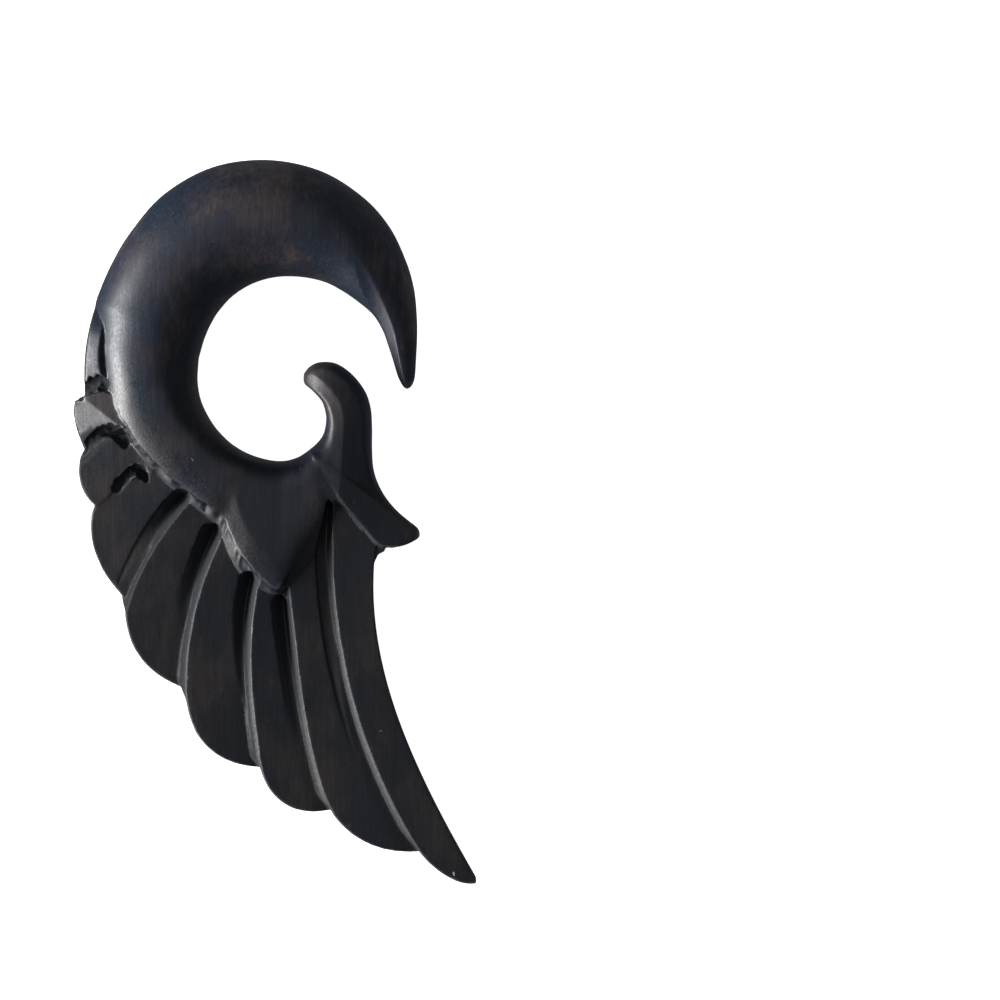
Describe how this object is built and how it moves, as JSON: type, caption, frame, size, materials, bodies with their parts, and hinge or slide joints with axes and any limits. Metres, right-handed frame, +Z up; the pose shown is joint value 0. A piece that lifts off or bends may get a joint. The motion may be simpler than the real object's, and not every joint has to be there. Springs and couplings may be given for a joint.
{
  "type": "carved wooden ear plug",
  "caption": "Dark carved wooden ear plug: a thick crescent hook for a stretched lobe that runs on through a pointed collar into an overlapping feathered wing, with a curled tail.",
  "frame": {"origin": "centre of the foot of the plug's box, on the surface that it lies on", "axes": "+Z up from that surface, through the plug's flat face; +Y from the wing's tip to the crescent; +X to the side of the hook's open mouth"},
  "size_m": [0.0404, 0.0726, 0.0116],
  "materials": {
    "wood": "sanded and waxed near-black wood with a satin sheen"
  },
  "bodies": {
    "root": {"ear_plug": "wood"}
  },
  "joints": []
}
